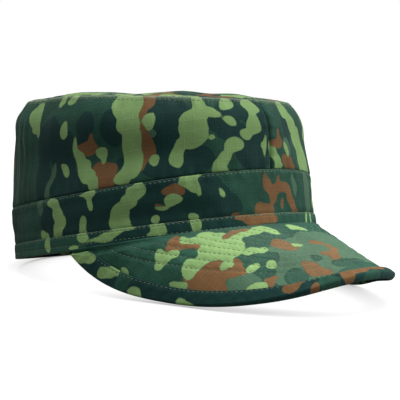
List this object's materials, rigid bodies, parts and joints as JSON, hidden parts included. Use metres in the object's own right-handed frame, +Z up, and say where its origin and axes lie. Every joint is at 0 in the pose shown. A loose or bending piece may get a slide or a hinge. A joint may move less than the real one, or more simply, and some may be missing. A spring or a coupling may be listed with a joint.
{
  "type": "patrol cap",
  "caption": "Soft flat-topped cloth cap with a sewn band round its foot and a stiffened, arched peak; it stands by itself.",
  "frame": {"origin": "middle of the cap's own box, on the surface that it stands on", "axes": "+Z up from that surface; -Y towards the peak, so the wearer's right is -X and left is +X"},
  "size_m": [0.1756, 0.272, 0.1104],
  "materials": {
    "crown_cloth": "ripstop cotton blend printed in light green, brown, mid green, grey-green and near black, matt",
    "band_cloth": "the same printed ripstop cloth, doubled, matt",
    "strip_cloth": "the same printed ripstop cloth, folded over the edge as a bound strip, matt",
    "peak_cloth": "the same printed ripstop cloth, quilted over a stiffener with rows of stitching, matt"
  },
  "bodies": {
    "root": {"crown_top": "crown_cloth", "crown_side_right": "crown_cloth", "crown_side_left": "crown_cloth", "band": "band_cloth", "hem_strip": "strip_cloth", "peak": "peak_cloth", "peak_edge_strip": "strip_cloth"}
  },
  "joints": []
}
